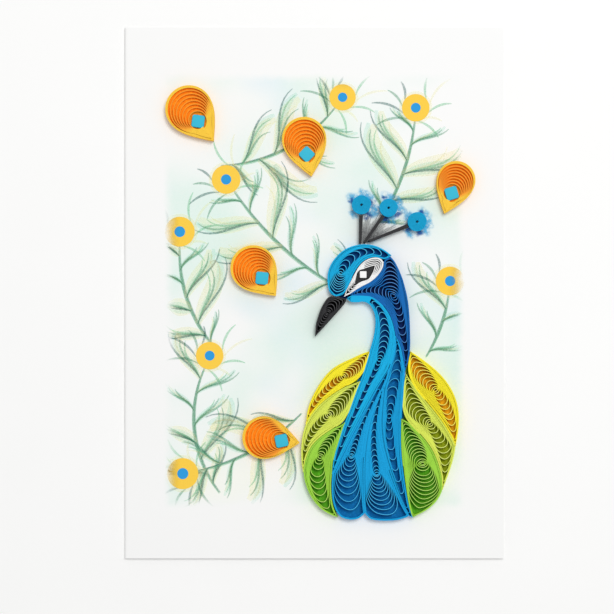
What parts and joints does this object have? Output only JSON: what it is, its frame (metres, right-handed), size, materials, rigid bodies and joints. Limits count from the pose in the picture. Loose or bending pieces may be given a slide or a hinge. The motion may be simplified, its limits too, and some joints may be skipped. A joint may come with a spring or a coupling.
{
  "type": "quilled paper art card",
  "caption": "Folded white card with a crested peacock and loose feather eyes made of coiled paper strips glued on edge to its front.",
  "frame": {"origin": "under the middle of the card, on the back of its rear leaf", "axes": "+X from the fold towards the open edge, +Y up the picture, +Z out of the picture"},
  "size_m": [0.127, 0.1778, 0.0048],
  "materials": {
    "card_white": "smooth white card stock",
    "crown_blue": "light blue quilling paper",
    "breast_blue": "azure quilling paper",
    "nape_blue": "dark blue quilling paper",
    "yellow": "yellow quilling paper",
    "lime": "lime quilling paper",
    "green": "green quilling paper",
    "golden": "golden orange quilling paper",
    "sky_blue": "sky blue paper",
    "dark_grey": "dark grey quilling paper",
    "white": "white quilling paper"
  },
  "bodies": {
    "root": {"folded_card": "card_white", "beak_coil": "dark_grey", "crown_coil": "crown_blue", "nape_coil": "nape_blue", "neck_coil": "crown_blue", "left_breast_coil": "breast_blue", "middle_breast_coil": "breast_blue", "right_breast_coil": "breast_blue", "left_yellow_coil": "yellow", "left_lime_coil": "lime", "left_green_coil": "green", "right_yellow_coil": "yellow", "right_lime_coil": "lime", "right_green_coil": "green", "eye_white_coil": "white", "eye_black_coil": "dark_grey", "eye_white_square": "white", "crest_stem_1": "dark_grey", "crest_disc_1": "crown_blue", "crest_stem_2": "dark_grey", "crest_disc_2": "crown_blue", "crest_stem_3": "dark_grey", "crest_disc_3": "crown_blue", "feather_drop_1": "golden", "feather_square_1": "sky_blue", "feather_drop_2": "golden", "feather_square_2": "sky_blue", "feather_drop_3": "golden", "feather_square_3": "sky_blue", "feather_drop_4": "golden", "feather_square_4": "sky_blue", "feather_drop_5": "golden", "feather_square_5": "sky_blue"}
  },
  "joints": []
}
